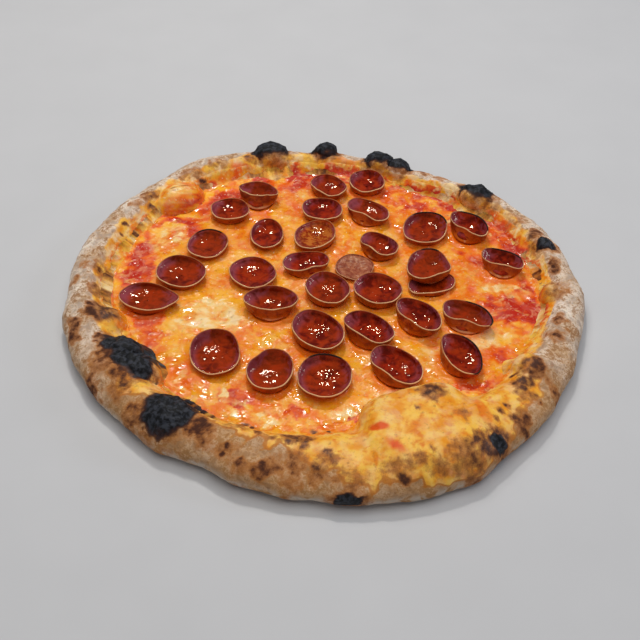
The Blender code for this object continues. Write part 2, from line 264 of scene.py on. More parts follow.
# Browned places: x, y, half length, half width in mm, turn, strength
BROWNED = (
    (-124, -25, 9, 8, 0, 1), (-115, -14, 5, 3, 0, 0.9), (-132, 14, 5, 6, 0, 0.55),
    (-131, -4, 4, 6, 0, 0.6), (-140, 15, 3, 5, 0, 0.55), (-143, 1, 3, 5, 0, 0.5),
    (-136, -38, 4, 9, 20, 0.85), (-119, -69, 5, 5, 0, 0.6), (-121, -77, 4, 8, 35, 0.85),
    (-106, -83, 7, 5, -30, 0.65), (-96, -98, 7, 6, -40, 0.8), (-112, -62, 10, 9, -30, 0.85),
    (-103, -73, 11, 7, -30, 0.9), (-75, -122, 14, 6, -30, 0.4), (-60, -108, 9, 7, -20, 1),
    (-57, -116, 6, 4, -20, 0.6), (-42, -106, 7, 5, 0, 0.5), (-13, -113, 9, 4, 0, 0.95),
    (-24, -113, 6, 3, 0, 0.55), (-46, -121, 7, 5, 0, 0.5), (-40, -129, 6, 5, 0, 0.55),
    (-27, -130, 9, 5, 0, 0.75), (-14, -127, 6, 6, 0, 0.65), (-15, -136, 6, 5, 0, 0.5),
    (-3, -132, 7, 6, 0, 0.65), (4, -126, 8, 4, 0, 0.65), (14, -137, 10, 5, 0, 0.55),
    (56, -84, 7, 7, 0, 0.97), (36, -131, 10, 4, 10, 0.5), (47, -127, 3.5, 3, 0, 0.65),
    (57, -129, 8, 4, 10, 0.5), (72, -122, 12, 8, 30, 0.75), (80, -115, 7, 6, 0, 0.9),
    (87, -108, 5, 4, 0, 0.85), (69, -99, 4, 3, 0, 0.6), (100, -98, 6, 6, 0, 0.8),
    (111, -63, 8, 7, -40, 0.95), (103, -73, 6, 5, 0, 0.95), (105, -82, 6, 5, 0, 0.55),
    (121, -76, 3, 7, 30, 0.65), (127, -38, 5, 5, 0, 0.75), (130, -25, 5, 4, 0, 0.75),
    (133, 0, 7, 7, 0, 0.55), (130, 9, 4, 3, 0, 0.75), (136, 22, 4, 7, 0, 0.85), (128, 51, 5, 5, 0, 0.8),
    (118, 68, 7, 5, -50, 0.45), (104, 82, 6, 5, -50, 0.45), (76, 110, 6, 4, -35, 0.5),
    (64, 117, 6, 4, -25, 0.65), (-52, 126, 5, 3, 0, 0.85), (-72, 120, 8, 3, 25, 0.55),
    (-89, 109, 8, 4, 30, 0.55), (-81, 107, 6, 3, -20, 0.6), (-113, 84, 7, 4, 40, 0.75),
    (-120, 74, 5, 3, 50, 0.45),
)

# Small dark spots: x, y, half size in mm
SPOTS = (
    (-132, 14, 2.6), (-122, -29, 3.2), (-121, -22, 2.8), (-130, -20, 2.4), (-115, -14, 2.6),
    (-121, -45, 2.8), (-122, -49, 1.5), (-120, -53, 1.5), (-136, -42, 2.5), (-57, -95, 2.2),
    (-42, -101, 2.4), (-39, -99, 2), (-35, -101, 1.5), (-31, -110, 2.4), (-59, -109, 3), (-46, -119, 2.8),
    (-48, -123, 2.2), (-40, -128, 2.8), (-28, -129, 3.6), (-14, -113, 3.4), (-8, -119, 2.2),
    (-4, -101, 2.2), (3, -122, 2.2), (-14, -127, 2.4), (-3, -131, 2.8), (3, -102, 1.5), (48, -97, 1.6),
    (39, -136, 3), (54, -121, 1.3), (83, -112, 2.6), (74, -116, 2.2), (89, -107, 1.8), (90, -94, 2.6),
    (86, -100, 1.8), (94, -89, 1.8), (98, -97, 3), (102, -102, 2.6), (112, -62, 3.6), (104, -73, 3.2),
    (101, -64, 1.8), (109, -70, 2.2), (121, -76, 1.8), (111, -86, 1.5), (126, -38, 2.6), (130, -25, 2.2),
    (130, 10, 2.2), (136, 22, 2.6), (128, 51, 2.4), (-110, 77, 2.6), (-90, 93, 1.8), (-96, 89, 1.5),
    (-123, 57, 1.5), (-124, 48, 1.5), (-81, 107, 2.4),
)

# Splashes of sauce on the golden dough: x, y, half length, half width in mm, turn, strength
SPLASHES = (
    (28, -108, 4.5, 2.6, -10, 1), (36, -120, 4.5, 2.8, -35, 1), (69, -99, 4, 3, 0, 0.5),
    (81, -96, 3, 9, 20, 0.45), (48, -106, 5, 3, 10, 0.4), (-57, 120, 6, 4, 10, 0.8),
    (-30, 121, 7, 4, 0, 0.6), (12, 128, 8, 4, 0, 0.5),
)

# Sauce that shows red through the cheese: x, y, half length, half width in mm, turn, strength
REDS = (
    (104, -6, 15, 12, 20, 1), (118, -4, 8, 22, 5, 0.9), (114, 46, 10, 16, 20, 0.7),
    (86, 92, 26, 10, -45, 0.8), (45, 100, 22, 9, -20, 0.8), (12, 122, 34, 7, 0, 0.8),
    (-25, 112, 22, 8, 5, 0.8), (-80, 82, 12, 8, 40, 0.5), (-110, 24, 9, 24, 0, 0.8),
    (-98, -20, 10, 8, 0, 0.8), (-96, -34, 8, 10, 0, 0.5), (-44, -79, 12, 6, -10, 0.8),
    (-12, -88, 7, 4, -10, 0.9), (22, -92, 9, 3, 10, 0.8), (84, -70, 16, 6, -25, 0.9),
    (96, -45, 14, 6, -30, 0.5), (60, -36, 6, 5, 0, 0.5), (-72, -20, 10, 6, 30, 0.4),
    (-88, 62, 12, 18, -30, 0.45), (-58, 96, 16, 7, 10, 0.55), (-42, 76, 10, 8, 0, 0.4),
    (106, 62, 9, 14, 30, 0.6), (92, 40, 10, 7, 0, 0.4), (78, 4, 12, 6, 20, 0.35),
    (-52, -34, 9, 5, 0, 0.35),
)

# Cream-coloured cheese that the fat left bare: x, y, half length, half width in mm, turn, strength
CREAMS = (
    (-62, -16, 17, 13, -20, 0.9), (-78, -25, 9, 7, 0, 0.7), (57, -44, 5, 13, 10, 0.8),
    (106, 10, 16, 5, -10, 0.8), (88, -32, 12, 7, -20, 0.9), (97, -28, 14, 5, -30, 0.7),
    (31, -80, 15, 6, 25, 1), (11, -89, 10, 3.5, 5, 0.9), (-100, 48, 10, 8, 0, 0.7),
    (-96, 60, 10, 7, 20, 0.6), (-18, 98, 6, 9, 0, 0.5), (46, 32, 6, 4, 0, 0.5), (-52, 36, 10, 7, 0, 0.5),
    (-22, 72, 7, 6, 0, 0.5), (-56, -78, 14, 5, -20, 0.6), (-36, -92, 15, 4, -20, 0.5),
    (98, 60, 7, 7, 0, 0.6), (72, 75, 10, 6, -30, 0.4), (-97, 92, 13, 10, 40, 0.7),
)

# The colours of the materials, as linear red, green and blue
COLOURS = {
    "deep gold": (0.84, 0.30, 0.010), "yellow gold": (0.96, 0.54, 0.075), "amber": (0.74, 0.17, 0.004),
    "cream": (0.96, 0.72, 0.40), "warm brown": (0.46, 0.165, 0.035), "brown": (0.17, 0.052, 0.018),
    "dark brown": (0.052, 0.018, 0.012), "char edge": (0.13, 0.045, 0.018), "soot": (0.045, 0.020, 0.017),
    "char": (0.007, 0.007, 0.008), "grey char": (0.038, 0.041, 0.052), "dark tan": (0.37, 0.195, 0.092),
    "light tan": (0.74, 0.50, 0.305), "flour": (0.95, 0.83, 0.70), "toast": (0.17, 0.066, 0.026),
    # The fold band colour is the crisp orange edge of the folded dough and a painted shadow under it
    # The front shade tan darkens the front of the crust: painted shade
    "front shade tan": (0.52, 0.24, 0.06), "dusty": (0.72, 0.64, 0.54), "fold_edge_shade": (0.50, 0.150, 0.014),
    "splash": (0.78, 0.10, 0.006), "base": (0.50, 0.32, 0.17), "base spots": (0.18, 0.08, 0.03),
    # Milky sheen: a pale film on the cheese, partly its own colour and partly a painted reflection
    "orange fat": (0.88, 0.185, 0.003), "yellow fat": (0.98, 0.45, 0.015), "milky sheen": (0.97, 0.54, 0.11),
    "sauce": (0.82, 0.110, 0.005), "deep sauce": (0.54, 0.022, 0.008), "bare": (0.97, 0.60, 0.17),
    # Slice fat and shadow: the deep orange round each slice's foot, fat from the slice with a painted shadow
    # of the cup
    "barest": (0.97, 0.75, 0.42), "pink": (0.95, 0.42, 0.22), "slice fat and shadow": (0.80, 0.130, 0.002),
    "crumbs": (0.98, 0.80, 0.58), "bowl shade": (0.120, 0.004, 0.001), "bowl": (0.37, 0.017, 0.002),
    # The purple sheens are painted reflections of cool light on the cups' inner walls
    "bowl fat": (0.38, 0.048, 0.003), "painted purple sheen": (0.29, 0.062, 0.088), "far painted purple sheen": (0.27, 0.058, 0.082),
    # Golden oil glints: painted glints on the oil in one cup's floor
    "golden oil glints": (0.62, 0.22, 0.03), "wall": (0.44, 0.062, 0.005), "wall shade": (0.25, 0.022, 0.004),
    # The painted foot highlight is a painted highlight along the outside of a cup's foot
    # The wall foot colour makes a cup's wall more orange towards its foot: a painted reflection of the
    # orange cheese
    "wall foot cheese reflection": (0.66, 0.145, 0.006), "painted foot highlight": (0.80, 0.40, 0.20), "matt": (0.26, 0.060, 0.030),
    "light matt": (0.42, 0.15, 0.070), "lip": (0.42, 0.13, 0.040), "front lip": (0.84, 0.50, 0.25),
    "burnt lip": (0.020, 0.010, 0.010), "floor": (0.56, 0.56, 0.57), "light floor": (0.60, 0.60, 0.61),
}

# Stages of browning: colour, how far noise wanders its edge, where it starts and ends, and its strength
BROWNING = (
    ("warm brown", 0.5, 0.02, 0.45, 0.75),
    ("brown", 0.6, 0.28, 0.80, 0.88),
    ("dark brown", 0.7, 0.60, 0.98, 0.90),
)

# The faint light from all round, and the side of the floor in metres
DAYLIGHT = (0.84, 0.90, 1.0, 1.0)
DAYLIGHT_STRENGTH = 0.13
FLOOR_SIZE = 6.0

# Station 0 is the rim's inner foot, 1 its crest, 2 its widest line and 3 its lower edge. The underside
# is given a station of its own, and goes in to the middle in these shares of the lower edge's radius.
UNDERSIDE = 4.0
UNDERSIDE_SHARES = (0.97, 0.92, 0.84, 0.72, 0.56, 0.36, 0.16)

# Fineness of the meshes: steps round the rim, up its slope, down its side and under its edge, squares
# along the cheese's grid, and steps round a slice and between two knots of its section
CRUST_STEPS = 1120
SLOPE_STEPS = 32
SIDE_STEPS = 26
TUCK_STEPS = 13
CHEESE_STEPS = 300
SLICE_STEPS = 88
CUP_STEPS = 4

# The highest that relief may stand, and the height below that over which it flattens out
TOP_LIMIT = cad_high.z + 0.5 * MM
HEADROOM = 1.5 * MM


def smoothstep(value, low, high):
    """0 below low, 1 above high, and a smooth rise between them."""
    share = np.clip((value - low) / (high - low), 0.0, 1.0)
    return share * share * (3.0 - 2.0 * share)


def turned(x, y, degrees):
    """A point turned about the origin, anticlockwise as seen from above."""
    cosine = math.cos(math.radians(degrees))
    sine = math.sin(math.radians(degrees))
    return x * cosine - y * sine, x * sine + y * cosine


def turn_from(degrees, directions):
    """How far each of these directions, in radians, is turned from one in degrees: -180 to 180."""
    return (np.degrees(directions) - degrees + 180.0) % 360.0 - 180.0


def by_direction(rows, angles):
    """The value at each angle, on straight lines between rows of direction and value."""
    directions, values = np.array(rows).T
    return np.interp(np.degrees(angles) % 360.0, directions, values, period=360.0)


def unit(vectors):
    """The same vectors, scaled to length 1."""
    return vectors / np.maximum(np.linalg.norm(vectors, axis=-1, keepdims=True), TINY)


# The slopes that noise picks from: from the middle of a cube to the middles of its 12 edges
EDGES = np.array([e for e in product((-1, 0, 1), repeat=3) if sum(map(abs, e)) == 2], dtype=float)


def scramble(cells, seed):
    """A whole number for each cell of a cubic lattice: the cell's coordinates times large odd numbers,
    added and mixed by shifts, so that neighbours have nothing in common."""
    cells = cells.astype(np.int64).astype(np.uint32)
    mixed = cells[:, 0] * np.uint32(374761393) + cells[:, 1] * np.uint32(668265263)
    mixed += cells[:, 2] * np.uint32(2246822519) + np.uint32(seed * 977 + 1013)
    mixed = (mixed ^ (mixed >> np.uint32(15))) * np.uint32(2654435761)
    mixed = (mixed ^ (mixed >> np.uint32(13))) * np.uint32(3266489917)
    return mixed ^ (mixed >> np.uint32(16))


def noise(points, size, seed):
    """Gradient noise from about -1 to 1: each corner of a cubic lattice has a random slope, and the
    slopes of the eight corners round a point are blended by the quintic fade of its place."""
    place = points / size
    corner = np.floor(place)
    offset = place - corner
    fade = offset ** 3 * (offset * (offset * 6.0 - 15.0) + 10.0)
    total = np.zeros(len(points))
    for step in product((0, 1), repeat=3):
        step = np.array(step)
        slope = EDGES[scramble(corner + step, seed) % len(EDGES)]
        weight = np.prod(np.where(step == 1, fade, 1.0 - fade), axis=1)
        total += weight * ((offset - step) * slope).sum(axis=1)
    return total


def layered(points, size, seed, layers=3):
    """Noise in layers, each half as large and half as strong as the one before."""
    return sum(noise(points, size / 2 ** n, seed + n) / 2 ** n for n in range(layers))


def warped(points, size, reach, seed):
    """The points, each moved by up to this reach along a smooth random field of this size."""
    return points + reach * np.stack([noise(points, size, seed + n) for n in range(3)], axis=1)


def cell_distance(points, size, seed):
    """Distance to the nearest of the random middles in a cubic lattice, in cell sizes."""
    place = points / size
    corner = np.floor(place)
    nearest = np.full(len(points), np.inf)
    for step in product((-1, 0, 1), repeat=3):
        cell = corner + np.array(step)
        middle = cell + np.stack([scramble(cell, seed + n) % 1024 / 1024.0 for n in range(3)], axis=1)
        nearest = np.minimum(nearest, np.linalg.norm(place - middle, axis=1))
    return nearest


def patches(points, rows, softness, wander, seed):
    """How far points lie in any of a list of oval patches, seen from above: the largest of the patches'
    strengths, each fading over its edge, which wanders by the given reach."""
    moved = warped(points, 6.0 * MM, wander, seed)
    moved = warped(moved, 2.0 * MM, 0.4 * wander, seed + 3)
    covered = np.zeros(len(points))
    for x, y, half_length, half_width, turn, strength in rows:
        along, across = turned(moved[:, 0] - x * MM, moved[:, 1] - y * MM, -turn)
        distance = np.hypot(along / (half_length * MM), across / (half_width * MM))
        inside = smoothstep(-distance, -1.0 - softness, -1.0 + softness)
        covered = np.maximum(covered, strength * inside)
    return covered


def grid_faces(rows, columns, wrap):
    """Corner numbers of the quads of a grid whose points are numbered row by row. With wrap, the last
    column joins the first."""
    spans = columns if wrap else columns - 1
    row, column = np.meshgrid(np.arange(rows - 1), np.arange(spans), indexing="ij")
    following = (column + 1) % columns
    corners = (row * columns + column, row * columns + following,
               (row + 1) * columns + following, (row + 1) * columns + column)
    return np.stack(corners, axis=-1).reshape(-1, 4)


def make_piece(name, points, quads, triangles, attributes, material, replaced):
    """A smooth-shaded mesh from arrays, with a number at each point for each attribute, that rides on
    the pizza and stands for a solid."""
    mesh = bpy.data.meshes.new(name)
    loops = np.concatenate((quads.ravel(), triangles.ravel())).astype(np.int32)
    sizes = np.concatenate((np.full(len(quads), 4), np.full(len(triangles), 3)))
    starts = np.concatenate(([0], np.cumsum(sizes)[:-1])).astype(np.int32)
    mesh.vertices.add(len(points))
    mesh.vertices.foreach_set("co", points.astype(np.float32).ravel())
    mesh.loops.add(len(loops))
    mesh.loops.foreach_set("vertex_index", loops)
    mesh.polygons.add(len(sizes))
    mesh.polygons.foreach_set("loop_start", starts)
    mesh.update(calc_edges=True)
    mesh.validate()
    mesh.shade_smooth()
    for label, values in attributes.items():
        layer = mesh.attributes.new(label, "FLOAT", "POINT")
        layer.data.foreach_set("value", values.astype(np.float32))
    mesh.materials.append(material)
    piece = bpy.data.objects.new(name, mesh)
    bpy.context.scene.collection.objects.link(piece)
    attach(piece, "root")
    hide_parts(replaced)


def rim_values(angles):
    """Outer, foot and crest radius and crest height at each angle: a Catmull-Rom curve through the rows
    of the rim, plus the waves of uneven dough."""
    rows = np.array(RIM, dtype=float)
    count = len(rows)
    place = np.degrees(angles) % 360.0 / (360.0 / count)
    start = np.floor(place).astype(int)
    share = (place - start)[..., None]
    before, here, after, beyond = (rows[(start + shift) % count, 1:] for shift in (-1, 0, 1, 2))
    slope = after - before
    bend = 2 * before - 5 * here + 4 * after - beyond
    twist = 3 * here - before - 3 * after + beyond
    values = (here + 0.5 * share * (slope + share * (bend + share * twist))) * MM
    outward = sum(mm * np.sin(waves * angles + math.radians(phase)) for waves, phase, mm, _ in RIM_WAVES)
    upward = sum(mm * np.cos(waves * angles + math.radians(phase)) for waves, phase, _, mm in RIM_WAVES)
    return values[..., 0] + outward * MM, values[..., 1], values[..., 2], values[..., 3] + upward * MM


def push_out_bubbles(points):
    """Move points inside a bubble's ball out to its skin: the distance d from its middle, in radii,
    becomes (d^p + 1)^(1/p). Below its middle the ball goes straight down like a post."""
    for bubble in BUBBLES.values():
        centre = np.array((bubble.x, bubble.y, bubble.z)) * MM
        cosine = math.cos(math.radians(bubble.turn))
        sine = math.sin(math.radians(bubble.turn))
        axes = np.array(((cosine, sine, 0.0), (-sine, cosine, 0.0), (0.0, 0.0, 1.0)))
        half_sizes = np.array((bubble.along, bubble.across, bubble.up)) * MM
        local = (points - centre) @ axes.T / half_sizes
        below = np.minimum(local[:, 2], 0.0)
        local[:, 2] -= below
        distance = (np.abs(local) ** bubble.blunt).sum(axis=1) ** (1.0 / bubble.blunt)
        distance = np.maximum(distance, BUBBLE_MIDDLE)
        raised = (distance ** BUBBLE_SHARPNESS + 1.0) ** (1.0 / BUBBLE_SHARPNESS)
        lift = np.clip(points[:, 2] / BUBBLE_CLEARANCE - 0.5, 0.0, 1.0)
        reach = np.clip(2.0 - distance, 0.0, 1.0)
        local *= (1.0 + (raised / distance - 1.0) * lift * reach)[:, None]
        local[:, 2] += below
        points = centre + (local * half_sizes) @ axes
    return points


def dough_skin(angles, stations):
    """Points of the dough's skin: an S-shaped rise from station 0 to the crest at 1, a quarter ellipse
    down to the widest line at 2, and a smaller one that tucks in to the lower edge at 3."""
    outer, foot, crest, height = rim_values(angles)
    widest = height * WIDEST_SHARE
    share = np.clip(stations, 0.0, 1.0)
    rise = smoothstep(share, 0.0, 1.0)
    fall = np.radians(90.0 * np.clip(2.0 - stations, 0.0, 1.0))
    tuck = np.radians(90.0 * np.clip(stations - 2.0, 0.0, 1.0))
    slope_radius = foot + (crest - foot) * share
    slope_level = BASE_THICKNESS + (height - BASE_THICKNESS) * rise
    side_radius = crest + (outer - crest) * np.cos(fall) - TUCK_UNDER * (1.0 - np.cos(tuck))
    side_level = widest + (height - widest) * np.sin(fall)
    tuck_level = widest * (1.0 - np.sin(tuck))
    radius = np.where(stations < 1.0, slope_radius, side_radius)
    level = np.where(stations < 1.0, slope_level, np.where(stations < 2.0, side_level, tuck_level))
    points = np.stack((radius * np.cos(angles), radius * np.sin(angles), level), axis=-1)
    return push_out_bubbles(points.reshape(-1, 3)).reshape(points.shape)


def skin_normals(angles, stations):
    """Unit normals of the dough's skin: the cross product of its slopes round the rim and along the
    stations, from points a small step to either side."""
    step = 0.004
    around = dough_skin(angles + step, stations) - dough_skin(angles - step, stations)
    along = dough_skin(angles, stations + step) - dough_skin(angles, stations - step)
    return unit(np.cross(along, around))


def grid_normals(grid, wrap):
    """Unit normals of a surface given as a grid of points, from the differences of neighbours."""
    down = np.gradient(grid, axis=0)
    if wrap:
        around = np.roll(grid, -1, axis=1) - np.roll(grid, 1, axis=1)
    else:
        around = np.gradient(grid, axis=1)
    return unit(np.cross(down, around))


def char_amount(points):
    """How charred the dough is: full on the burnt blisters, with ragged edges."""
    return patches(points, [(*row, 1.0) for row in CHARS], 0.26, 2.8 * MM, 11)


def brown_amount(points):
    """How browned the dough is: halos round the chars, browned patches, and leopard spots."""
    halos = [(x, y, along + 4.0, across + 3.5, turn, 0.60) for x, y, along, across, turn in CHARS]
    spots = [(x, y, size, 0.8 * size, 0, 0.9) for x, y, size in SPOTS]
    broad = patches(points, halos, 0.35, 3.0 * MM, 21)
    broad = np.maximum(broad, patches(points, BROWNED, 0.45, 3.5 * MM, 25))
    broad = broad * (0.78 + 0.5 * layered(points, 4.0 * MM, 30))
    small = patches(points, spots, 0.55, 1.8 * MM, 35) * (0.85 + 0.4 * layered(points, 3.0 * MM, 38))
    return np.clip(np.maximum(broad, small), 0.0, 1.0)


def gold_amount(points, angles, stations):
    """1 on the golden, cheesy inner dough and 0 on the pale floured outside, with a wandering edge."""
    edge = by_direction(GOLD_EDGE, angles)
    wander = 0.22 * layered(points, 9.0 * MM, 41)
    return 1.0 - smoothstep(stations + wander, edge - 0.07, edge + 0.07)


def front_amount(points):
    """0 in the middle and at the back, rising to 1 in front. There the dough's colour is painted browner and
    less floury, a painted shade of the side turned away from the key light, and its gold has less cream.
    """
    return smoothstep(-points[:, 1], 10.0 * MM, 110.0 * MM)


def dough_relief(points, station, gold, char):
    """How far the dough's skin stands out from its plain form, in mm: slow swells, the thickness of the
    cheesy layer with its small blisters, soft folds in the chars, and a fine grain."""
    swell = 0.9 * noise(points, 22.0 * MM, 51) + 0.6 * layered(points, 9.0 * MM, 52)
    blister = np.maximum(0.0, 0.55 - cell_distance(points, 8.0 * MM, 61))
    ridges = np.abs(layered(warped(points, 8.0 * MM, 3.5 * MM, 71), 9.0 * MM, 72, layers=2))
    grain = layered(points, 1.8 * MM, 81, layers=2)
    burnt = char * smoothstep(station, 2.2, 1.4)
    relief = swell + (0.30 + 0.6 * blister) * gold + burnt * (0.9 - 3.0 * ridges) + 0.12 * grain
    return relief * smoothstep(station, 3.0, 2.6) * smoothstep(station, -0.05, 0.25)


def keep_under(heights, limit):
    """Heights that flatten out towards a limit from a little under it, along an exponential curve."""
    start = limit - HEADROOM
    over = np.maximum(heights - start, 0.0) / HEADROOM
    return np.minimum(heights, start) + HEADROOM * (1.0 - np.exp(-over))


def with_ends(attributes):
    """The same numbers, with two more of each for the points that close the first and last ring."""
    return {label: np.append(values, values[[0, -1]]) for label, values in attributes.items()}


def make_crust(material):
    """The dough in one closed skin: from the dish floor up the inner slope, over the crest, down the
    outside and back along the underside, each point moved along its normal by the relief."""
    slope = np.linspace(0.0, 1.0, SLOPE_STEPS, endpoint=False)
    side = np.linspace(1.0, 2.0, SIDE_STEPS, endpoint=False)
    tuck = np.linspace(2.0, 3.0, TUCK_STEPS + 1)
    around = np.arange(CRUST_STEPS) * (FULL_TURN / CRUST_STEPS)
    stations, angles = np.meshgrid(np.concatenate((slope, side, tuck)), around, indexing="ij")
    skin = dough_skin(angles, stations)
    inner = skin[:1] * np.array((0.94, 0.94, 1.0))
    inner[..., 2] = BASE_THICKNESS
    shares = np.array(UNDERSIDE_SHARES)[:, None, None]
    beneath = skin[-1:] * np.concatenate((shares, shares, 0.0 * shares), axis=2)
    grid = np.concatenate((inner, skin, beneath))
    stations = np.concatenate((stations[:1] - 0.2, stations, np.full_like(beneath[..., 0], UNDERSIDE)))
    angles = np.broadcast_to(around, stations.shape)
    normals = skin_normals(angles, np.clip(stations, 0.0, 3.0)).reshape(-1, 3)
    flat = grid.reshape(-1, 3)
    station = stations.ravel()
    char = char_amount(flat) * smoothstep(station, 2.7, 2.0)
    gold = gold_amount(flat, angles.ravel(), station)
    relief = dough_relief(flat, station, gold, char)
    moved = flat + normals * (relief * MM)[:, None]
    moved[:, 2] = keep_under(np.maximum(moved[:, 2], 0.0), TOP_LIMIT)
    middles = np.array(((0.0, 0.0, BASE_THICKNESS), (0.0, 0.0, 0.0)))
    points = np.concatenate((moved, middles))
    attributes = with_ends({
        "char": char,
        "brown": brown_amount(flat) * smoothstep(station, 3.2, 2.8),
        "gold": gold,
        # bake: 1 in front, where the crust is painted darker, a painted shade
        "bake": front_amount(flat),
        "splash": patches(flat, SPLASHES, 0.30, 1.6 * MM, 145) * gold,
        "station": station,
    })
    quads = grid_faces(len(grid), CRUST_STEPS, wrap=True)[:, ::-1]
    triangles = closing_fans(len(flat), CRUST_STEPS)
    make_piece("crust_baked", points, quads, triangles, attributes, material, "crust")


def closing_fans(count, steps):
    """Triangles that close a stack of rings: from the point after the last one to the first ring, and
    from the point after that to the last ring."""
    step = np.arange(steps)
    following = (step + 1) % steps
    last = count - steps
    first_fan = np.stack((np.full(steps, count), step, following), axis=1)
    last_fan = np.stack((np.full(steps, count + 1), last + following, last + step), axis=1)
    return np.concatenate((first_fan, last_fan))


def cheese_level(points):
    """Top of the cheese in the dish: level, with soft dips from two crossing waves."""
    long_wave, short_wave = CHEESE_WAVELENGTHS
    first = np.sin(FULL_TURN * points[:, 0] / long_wave) * np.cos(FULL_TURN * points[:, 1] / long_wave)
    second = np.sin(FULL_TURN * (points[:, 0] + points[:, 1]) / short_wave)
    return CHEESE_TOP - CHEESE_DIP * (0.5 - 0.3 * first - 0.2 * second)


def disc_grid(steps):
    """Direction and distance from the middle, 0 to 1, for a square grid laid on a disc: each square ring
    of the grid becomes a circle, and the way along its side becomes an angle."""
    line = np.linspace(-1.0, 1.0, steps + 1)
    across, along = np.meshgrid(line, line, indexing="ij")
    wide = np.abs(across) >= np.abs(along)
    distance = np.where(wide, np.abs(across), np.abs(along))
    eighth = FULL_TURN / 8
    rise = eighth * along / np.maximum(distance, TINY)
    run = eighth * across / np.maximum(distance, TINY)
    sideways = np.where(across >= 0, rise, 4 * eighth - rise)
    upward = np.where(along >= 0, 2 * eighth - run, 6 * eighth + run)
    return np.where(wide, sideways, upward) % FULL_TURN, distance


def foot_distance(points):
    """Distance from the edge of the nearest slice's foot, in metres, less than 0 under the slice."""
    nearest = np.full(len(points), 1.0)
    for place in SLICES:
        foot = 0.25 * FOOT_SHARE * (place.length + place.width) * MM
        away = np.hypot(points[:, 0] - place.x * MM, points[:, 1] - (place.y - place.forward) * MM)
        nearest = np.minimum(nearest, away - foot)
    return nearest


def fill_stations(angles):
    """Where the rim's inner slope comes out of the cheese: at each angle, the first station at which
    the dough's skin stands clear of the cheese."""
    ring = np.linspace(0.0, FULL_TURN, 721)
    line = np.linspace(0.0, 0.8, 41)
    stations, around = np.meshgrid(line, ring, indexing="ij")
    clear = dough_skin(around, stations)[..., 2] > CHEESE_TOP + 0.3 * MM
    return np.interp(angles, ring, line[np.argmax(clear, axis=0)])


def cheese_reach(angles, foot):
    """The station at which the cheese ends: it climbs less far where the dough is charred, and always
    far enough to come out of the filled dish."""
    probe = dough_skin(angles, np.full_like(angles, 0.35)).reshape(-1, 3)
    widened = [(x, y, along + 5, across + 5, turn, 1.0) for x, y, along, across, turn in CHARS]
    burnt = patches(probe, widened, 0.3, 2.0 * MM, 15)
    reach = by_direction(CHEESE_REACH, angles.ravel()) + 0.10 * noise(foot.reshape(-1, 3), 16.0 * MM, 101)
    return np.maximum(reach * (1.0 - 0.9 * burnt), fill_stations(angles.ravel()) + 0.14)


def cheese_relief(flat, streaks, climbs, foot_gap):
    """How far the cheese stands out from its plain form, in mm: streaks, lumps and a fine grain, a
    swelling that clings to each slice's foot, and groups of small bubbles. It fades up the rim."""
    lumps = layered(flat, 12.0 * MM, 121)
    fine = layered(warped(flat, 3.0 * MM, 1.2 * MM, 124), 2.2 * MM, 127, layers=2)
    clinging = 0.7 * np.exp(-((foot_gap / MM) / 0.9) ** 2) + 0.5 * np.exp(-np.abs(foot_gap / MM) / 2.5)
    grouped = noise(flat, 18.0 * MM, 134) > 0.05
    bubbles = np.maximum(0.0, 0.32 - cell_distance(flat, 3.4 * MM, 131)) * grouped
    relief = 0.35 * streaks + 0.6 * lumps + 0.10 * fine + clinging + 1.2 * bubbles
    return relief * smoothstep(climbs, 0.75, 0.2)


def red_amount(flat, climbs):
    """How much sauce shows: in the red patches and in blotches, more of them towards the rim and the
    back, and less high up the rim."""
    reds = patches(flat, REDS, 0.35, 5.0 * MM, 141)
    radius = np.hypot(flat[:, 0], flat[:, 1])
    backward = 0.55 + 0.45 * smoothstep(flat[:, 1], -60 * MM, 60 * MM)
    outer = smoothstep(radius, 55 * MM, 115 * MM) * backward
    blotches = layered(warped(flat, 12.0 * MM, 6.0 * MM, 161), 13.0 * MM, 164)
    red = np.clip(1.05 * reds + outer * (0.25 + 1.1 * blotches) + 0.25 * blotches, 0.0, 1.15)
    return red * (1.0 - 0.35 * smoothstep(climbs, 0.5, 1.0))


def cheese_underside(flat):
    """What closes the cheese's grid: the numbers of the points on its border, a smaller flat ring of
    points beneath with one in the middle, and the quads and triangles that join them."""
    side = CHEESE_STEPS + 1
    numbers = np.arange(side * side).reshape(side, side)
    border = np.concatenate((numbers[:-1, 0], numbers[-1, :-1], numbers[:0:-1, -1], numbers[0, :0:-1]))
    ring = flat[border] * np.array((0.9, 0.9, 0.0)) + np.array((0.0, 0.0, CHEESE_FLOOR))
    lower = len(flat) + np.arange(len(border))
    middle = np.full(len(border), len(flat) + len(border))
    following = np.roll(np.arange(len(border)), -1)
    skirt = np.stack((border, border[following], lower[following], lower), axis=1)
    fan = np.stack((lower, lower[following], middle), axis=1)
    return border, np.concatenate((ring, ((0.0, 0.0, CHEESE_FLOOR),))), skirt, fan


